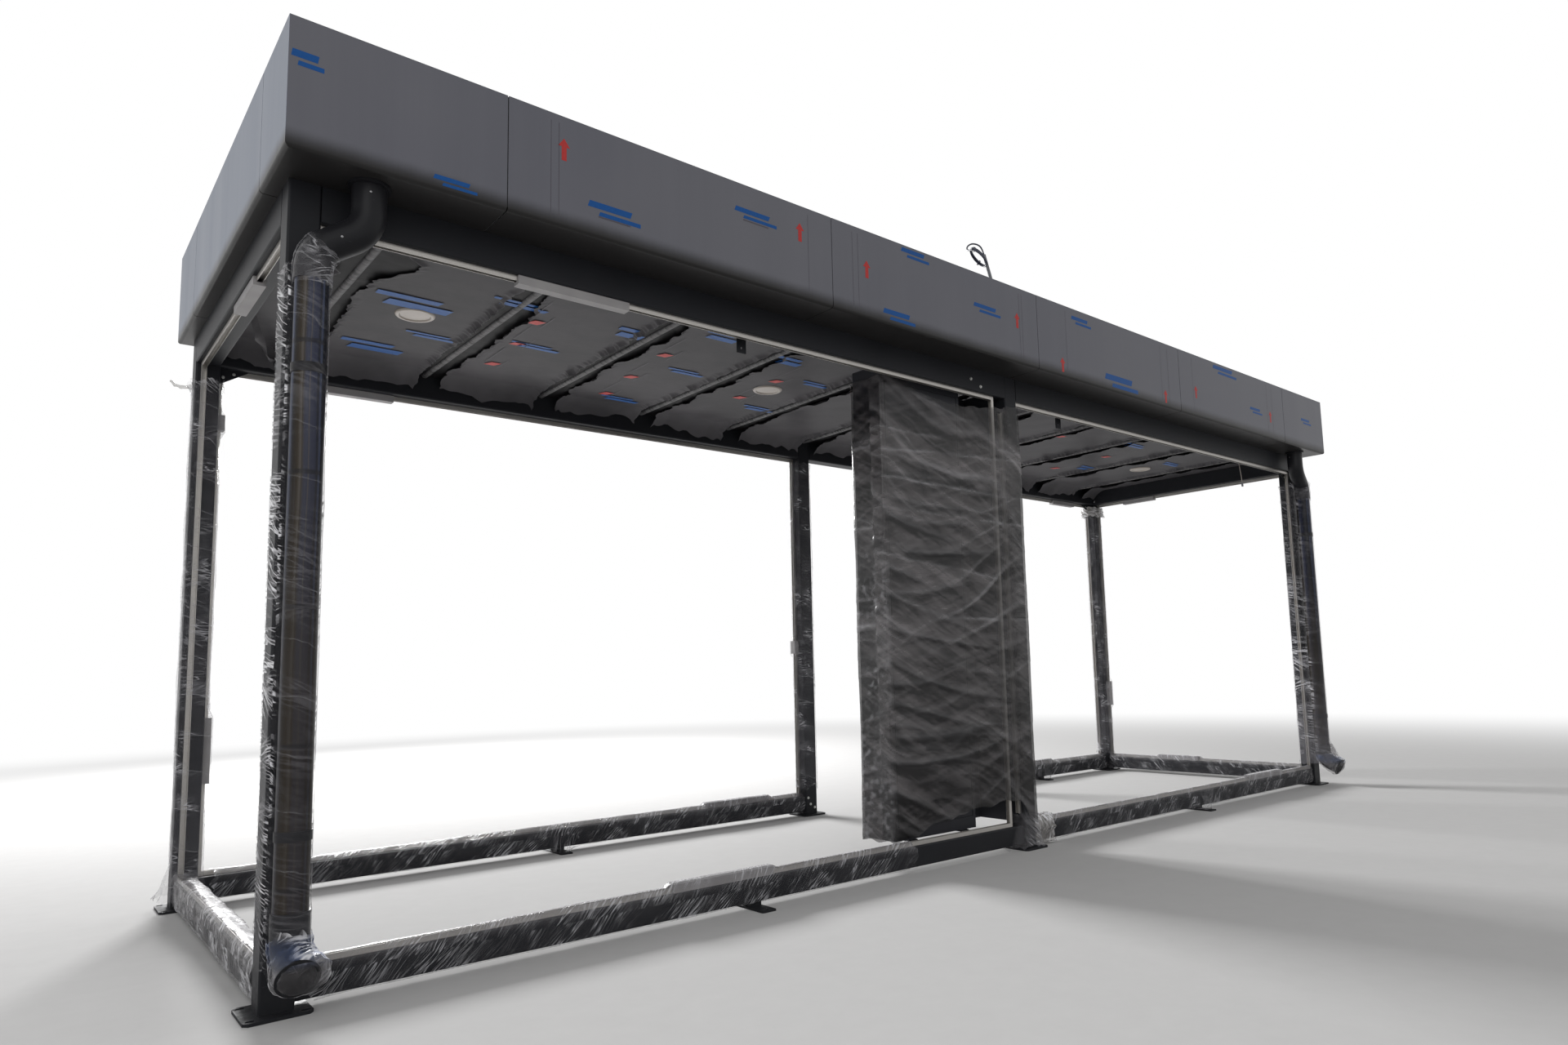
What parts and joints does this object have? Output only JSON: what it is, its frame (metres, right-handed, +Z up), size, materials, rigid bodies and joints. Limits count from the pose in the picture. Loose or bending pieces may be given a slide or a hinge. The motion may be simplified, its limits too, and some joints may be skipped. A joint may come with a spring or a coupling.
{
  "type": "bus shelter frame",
  "caption": "Open steel bus shelter frame on slotted base plates, with a cassette roof edge, panelled ceiling, swan-neck downpipes, a tall cabinet and empty glazing channels.",
  "frame": {"origin": "on the ground under the middle of the roof", "axes": "+X along the shelter, +Y from the rear with the downpipes to the open road side, +Z up"},
  "size_m": [7.51, 2.25, 3.4495],
  "materials": {
    "frame_coat": "satin anthracite powder coat",
    "pipe_coat": "satin black coated sheet",
    "cassette_film": "lilac grey protective film over composite panel",
    "ceiling_film": "pale grey glossy protective film over dark composite panel",
    "joint_strip": "pale soft joint strip",
    "zinc_sheet": "galvanised sheet",
    "aluminium_channel": "mill finish extrusion",
    "packing": "pale packing blocks under film",
    "cabinet_coat": "satin dark grey powder coat",
    "light_trim": "off-white downlight with opal lens",
    "conduit": "pale grey conduit",
    "cable": "matt blue-black sheath"
  },
  "bodies": {
    "root": {"post_rear_left": "frame_coat", "post_rear_middle": "frame_coat", "post_rear_right": "frame_coat", "post_road_left": "frame_coat", "post_road_middle": "frame_coat", "post_road_door": "frame_coat", "post_road_right": "frame_coat", "base_plates": "frame_coat", "rail_rear": "frame_coat", "rail_road": "frame_coat", "rail_ends": "frame_coat", "rail_feet": "frame_coat", "beam_rear": "frame_coat", "beam_road": "frame_coat", "beam_ends": "frame_coat", "corner_gussets": "frame_coat", "hanger_tabs": "frame_coat", "cabinet_brackets": "frame_coat", "swan_necks": "pipe_coat", "downpipes": "pipe_coat", "pipe_shoes": "pipe_coat", "pipe_brackets": "pipe_coat", "fascia_rear": "cassette_film", "fascia_road": "cassette_film", "fascia_ends": "cassette_film", "fascia_corners": "cassette_film", "ceiling_panels": "ceiling_film", "ceiling_strips": "joint_strip", "roof_deck": "zinc_sheet", "gutter": "zinc_sheet", "edge_frame_long": "zinc_sheet", "edge_frame_ends": "zinc_sheet", "ceiling_joists": "zinc_sheet", "glazing_channels": "aluminium_channel", "packing_blocks": "packing", "cabinet": "cabinet_coat", "cabinet_niche": "cabinet_coat", "ceiling_lights": "light_trim", "lead_gland": "light_trim", "roof_conduit": "conduit", "lead_connector": "conduit", "roof_cable": "cable", "roof_cable_coil": "cable", "hanging_lead": "cable"}
  },
  "joints": []
}
